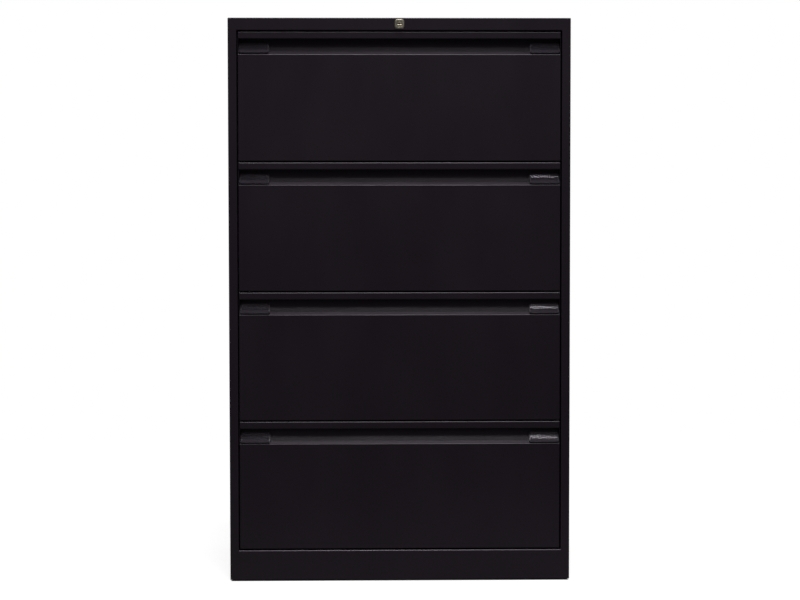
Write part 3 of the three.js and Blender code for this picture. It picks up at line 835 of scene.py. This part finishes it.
def lathe(name, profile, centre, finish, around=40):
    turns = [2 * math.pi * index / around for index in range(around)]
    bm = bmesh.new()
    rings = []
    for radius, height in profile:
        reach = radius * mm
        rings.append([centre + Vector((reach * math.cos(turn), reach * math.sin(turn), height * mm))
                      for turn in turns])
    skinRings(bm, rings)
    bmesh.ops.remove_doubles(bm, verts=bm.verts, dist=1e-7)
    bmesh.ops.recalc_face_normals(bm, faces=bm.faces)
    piece = pieceFrom(name, bm, finish)
    evenNormals(piece)
    return piece


def makeFoot(corner):
    size = footSizes
    node = f"foot_{corner}"
    low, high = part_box(node)
    middle = (low + high) / 2
    centre = Vector((middle.x, middle.y, low.z))
    pad = lathe(f"footPad_{corner}", footProfile, centre, footPlastic)
    finishPiece(pad, node, "foot_plastic", node)
    stem = lathe(f"footStem_{corner}", stemProfile, centre, screwSteel, 24)
    finishPiece(stem, node, "zinc_plate")
    spots = [(centre + Vector((0, 0, size["threadFrom"] * mm)), (0, 0, 1))]
    settings = dict(Radius=size["stemRadius"] * mm, Length=size["threadLong"] * mm,
                    Turns=size["threadLong"] / size["pitch"], Ridge=size["ridge"] * mm, Finish=screwSteel)
    setHardware(f"footThread_{corner}", threads, spots, settings, node, "zinc_plate")


for corner in ("front_left", "front_right", "rear_left", "rear_right"):
    makeFoot(corner)
print("feet made")


# Lock: rounded-square bezel with its barrel, and the plug with a level keyway

lockSizes = dict(wide=23.2, tall=22.8, corner=8, cornerLoss=0.8, squareness=1.25, proud=3, barrel=9, deep=22,
                 bore=6.7, plug=6.2, plugProud=2.8, keyLong=8, keyWide=2.2, keyDeep=8, keyFlare=1.2,
                 keyAhead=0.3, keyTaper=0.9, tail=7, tailEnd=28.3, bodyEnd=24, plugEdge=0.5, boreCut=0.2,
                 boreDrop=0.15, edge=0.12, around=72)
bezelProfile = [(0.15, -0.05), (0, -0.3), (1.8, -2.9), (2.05, -3)]  # inset from the outline, depth
plugLow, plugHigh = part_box("lock_plug")
lockHeight = (plugLow.z + plugHigh.z) / 2 / mm


def squarishRing(inset, depth):
    size = lockSizes
    corner = size["corner"] - inset * size["cornerLoss"]
    halfWide, halfTall = size["wide"] / 2 - inset, size["tall"] / 2 - inset
    power = 2 * halfWide / corner * size["squareness"]
    ring = []
    for index in range(size["around"]):
        turn = 2 * math.pi * index / size["around"]
        across, up = math.cos(turn), math.sin(turn)
        reach = (abs(across / halfWide) ** power + abs(up / halfTall) ** power) ** (-1 / power)
        ring.append(place(across * reach, depth, lockHeight + up * reach))
    return ring


def roundRing(radius, depth):
    around = lockSizes["around"]
    turns = [2 * math.pi * index / around for index in range(around)]
    return [place(radius * math.cos(turn), depth, lockHeight + radius * math.sin(turn)) for turn in turns]


def keyRing(flare, depth):  # the keyway, wider at its mouth
    long, wide = lockSizes["keyLong"] / 2 + flare, lockSizes["keyWide"] / 2 + flare
    corners = ((-1, -1), (1, -1), (1, 1), (-1, 1))
    return [place(across * long, depth, lockHeight + up * wide) for across, up in corners]


def makeLock():
    size = lockSizes
    proud = size["proud"]
    bm = bmesh.new()
    barrel, bore = size["barrel"], size["bore"]
    rings = [roundRing(barrel, size["deep"]), roundRing(barrel, bezelProfile[0][1])]
    rings += [squarishRing(inset, depth) for inset, depth in bezelProfile]
    rings += [roundRing(bore + size["boreCut"], -proud), roundRing(bore, -proud + size["boreDrop"]),
              roundRing(bore, size["deep"])]
    skinRings(bm, rings, closed=True)
    bmesh.ops.recalc_face_normals(bm, faces=bm.faces)
    housing = pieceFrom("lockHousing", bm, nickel)
    evenNormals(housing)
    finishPiece(housing, "carcass", "satin_nickel", "lock_housing")
    bm = bmesh.new()
    front, edge = -size["plugProud"], size["plugEdge"]
    skinRings(bm, [roundRing(size["plug"] - edge, front), roundRing(size["plug"], front + edge),
                   roundRing(size["plug"], size["bodyEnd"])])
    bmesh.ops.recalc_face_normals(bm, faces=bm.faces)
    plug = pieceFrom("lockPlug", bm, nickel)
    bm = bmesh.new()
    half = size["tail"] / 2
    addBox(bm, place(-half, size["bodyEnd"] - 1, lockHeight - half),
           place(half, size["tailEnd"], lockHeight + half))
    bmesh.ops.recalc_face_normals(bm, faces=bm.faces)
    unite(plug, [pieceFrom("plugTail", bm, nickel)])
    bm = bmesh.new()
    skinRings(bm, [keyRing(size["keyFlare"], front - size["keyAhead"]), keyRing(0, front + size["keyTaper"]),
                   keyRing(0, size["keyDeep"])])
    bmesh.ops.recalc_face_normals(bm, faces=bm.faces)
    unite(plug, [pieceFrom("keyCut", bm, nickel)], "DIFFERENCE")
    smoothFaces(plug.data)
    softenEdges(plug, size["edge"])
    finishPiece(plug, "lock_core", "satin_nickel", "lock_plug")


makeLock()
dressNode("lock_cam", "lockCam", lockSteel, "lock_steel", "lock_core", edgeWidths["lock"])
dressNode("lock_bar", "lockBar", lockSteel, "lock_steel", "lock_rod", edgeWidths["lock"])
print("lock made")


# Studio: pale floor, soft overhead light, camera at the photograph's angle

cameraLook = dict(eye=(-0.0654, -4.0, 0.8361), pan=0.945, tilt=-2.475, roll=-0.059, lens=76.86, sensor=36)


def makeCamera():
    look = cameraLook
    pan, tilt, roll = (math.radians(look[key]) for key in ("pan", "tilt", "roll"))
    ahead = Vector((math.sin(pan) * math.cos(tilt), math.cos(pan) * math.cos(tilt), math.sin(tilt)))
    right = Vector((math.cos(pan), -math.sin(pan), 0))
    up = right.cross(ahead)
    turned = math.cos(roll) * right + math.sin(roll) * up
    up = math.cos(roll) * up - math.sin(roll) * right
    data = bpy.data.cameras.new("camera")
    data.sensor_fit = "HORIZONTAL"
    data.sensor_width = look["sensor"]
    data.lens = look["lens"]
    camera = bpy.data.objects.new("camera", data)
    scene.collection.objects.link(camera)
    eye = Vector(look["eye"]) + Vector((0, frontY, 0))
    turnMatrix = Matrix((turned, up, -ahead)).transposed()
    camera.matrix_world = Matrix.Translation(eye) @ turnMatrix.to_4x4()
    scene.camera = camera


floorLook = dict(half=2.4, forward=-0.85, back=2.4, colour=(0.22, 0.22, 0.22), rough=0.9, seen=0.83,
                 paintedShadowFade=0.004)


def makeFloor():
    bm = bmesh.new()
    look = floorLook
    half, forward, back = look["half"], look["forward"], look["back"]
    corners = [(-half, forward), (half, forward), (half, back), (-half, back)]
    bm.faces.new([bm.verts.new((x, y, 0)) for x, y in corners])
    finish, tree, shader, where = newFinish("paleFloor")
    shader.inputs["Roughness"].default_value = look["rough"]
    shader.inputs["Specular IOR Level"].default_value = 0.0
    shader.inputs["Base Color"].default_value = (*look["colour"], 1)
    shader.inputs["Emission Color"].default_value = (1, 1, 1, 1)
    path = tree.nodes.new("ShaderNodeLightPath")
    glow = ramp(tree, path.outputs["Is Camera Ray"], 0, look["seen"], 0, 1)
    centred = tree.nodes.new("ShaderNodeMapping")  # painted shadow: the floor's glow is left out under the cabinet's footprint, so the floor shows dark there
    centred.inputs["Location"].default_value = -place(0, shellSizes["depth"] / 2, 0)
    split = tree.nodes.new("ShaderNodeSeparateXYZ")
    tree.links.new(where, centred.inputs["Vector"])
    tree.links.new(centred.outputs["Vector"], split.inputs["Vector"])
    # painted shadow mask: zero inside the cabinet's footprint, rising to one just outside it; it scales the
    # floor's glow
    outsidePaintedShadow = []
    for axis, edge in (("X", shellSizes["half"] * mm), ("Y", shellSizes["depth"] / 2 * mm)):
        reach = tree.nodes.new("ShaderNodeMath")
        reach.operation = "ABSOLUTE"
        tree.links.new(split.outputs[axis], reach.inputs[0])
        outsidePaintedShadow.append(ramp(tree, reach.outputs[0], 0, 1, edge - look["paintedShadowFade"], edge))
    glowOutsidePaintedShadow = calculate(tree, "MULTIPLY", glow, calculate(tree, "MAXIMUM", *outsidePaintedShadow))
    tree.links.new(glowOutsidePaintedShadow, shader.inputs["Emission Strength"])
    floor = pieceFrom("floor", bm, finish)


lamps = {
    "ceiling": dict(at=(0.3, -3.4, 6.5), aim=(0.3, -3.4, 0), size=(1.64, 4.4), power=285),
    "overhead": dict(at=(0.1, -1.54, 6.5), aim=(0.1, -1.1, 0), size=(1.3, 1.3), power=215),
    "strip": dict(at=(0.17, -3.23, 3.38), aim=(0.17, -0.23, 0.66), size=(1.1, 0.15), power=2.6),
}


def makeLamps():
    for name, look in lamps.items():
        data = bpy.data.lights.new(name, "AREA")
        data.shape = "RECTANGLE"
        data.size, data.size_y = look["size"]
        data.energy = look["power"]
        lamp = bpy.data.objects.new(name, data)
        scene.collection.objects.link(lamp)
        lamp.location = look["at"]
        lamp.rotation_euler = (Vector(look["aim"]) - Vector(look["at"])).to_track_quat("-Z", "Y").to_euler()


worldLook = dict(ambient=0.5, backdrop=1.0, studio=0.07, raised=0.32, raisedSpan=(0.1, 0.5), mirrored=0.5,
                 mirroredSpan=(-0.6, 0.2))


def makeWorld():  # pale backdrop all round for what is seen, darker towards the camera in reflections
    look = worldLook
    world = bpy.data.worlds.new("studio")
    world.use_nodes = True
    scene.world = world
    tree = world.node_tree
    background = tree.nodes["Background"]
    path = tree.nodes.new("ShaderNodeLightPath")
    coords = tree.nodes.new("ShaderNodeTexCoord")
    split = tree.nodes.new("ShaderNodeSeparateXYZ")
    tree.links.new(coords.outputs["Generated"], split.inputs["Vector"])
    behind = ramp(tree, split.outputs["Y"], look["studio"], look["mirrored"], *look["mirroredSpan"])
    above = ramp(tree, split.outputs["Z"], look["studio"], look["raised"], *look["raisedSpan"])
    seen = calculate(tree, "MAXIMUM", path.outputs["Is Glossy Ray"], path.outputs["Is Transmission Ray"])
    reflected = tree.nodes.new("ShaderNodeMix")
    reflected.inputs["A"].default_value = look["ambient"]
    tree.links.new(seen, reflected.inputs["Factor"])
    tree.links.new(calculate(tree, "MAXIMUM", behind, above), reflected.inputs["B"])
    direct = tree.nodes.new("ShaderNodeMix")
    direct.inputs["B"].default_value = look["backdrop"]
    tree.links.new(path.outputs["Is Camera Ray"], direct.inputs["Factor"])
    tree.links.new(reflected.outputs["Result"], direct.inputs["A"])
    background.inputs["Color"].default_value = (1, 1, 1, 1)
    tree.links.new(direct.outputs["Result"], background.inputs["Strength"])


makeCamera()
makeFloor()
makeLamps()
makeWorld()
scene.view_settings.view_transform = "Standard"
print("studio made")
